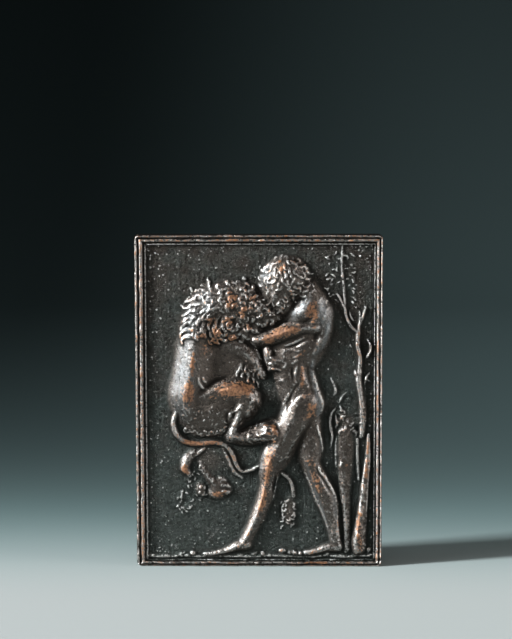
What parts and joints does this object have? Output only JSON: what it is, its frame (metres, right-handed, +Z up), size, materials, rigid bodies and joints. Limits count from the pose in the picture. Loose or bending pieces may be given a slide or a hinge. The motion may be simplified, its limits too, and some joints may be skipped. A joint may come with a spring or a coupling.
{
  "type": "relief plaque",
  "caption": "Small upright cast bronze plaquette with a moulded border and a relief of a man wrestling a rearing lion beside a tree.",
  "frame": {"origin": "centre of the flat back, where the plaque lies against what it is fixed to", "axes": "+Z up the picture, -Y out of the carved face towards the viewer, +X to the viewer's right"},
  "size_m": [0.057, 0.0062, 0.0776],
  "materials": {
    "bronze": "cast bronze with a glossy black-brown patina, rubbed to copper on the high points"
  },
  "bodies": {
    "root": {"relief_plaque": "bronze"}
  },
  "joints": []
}
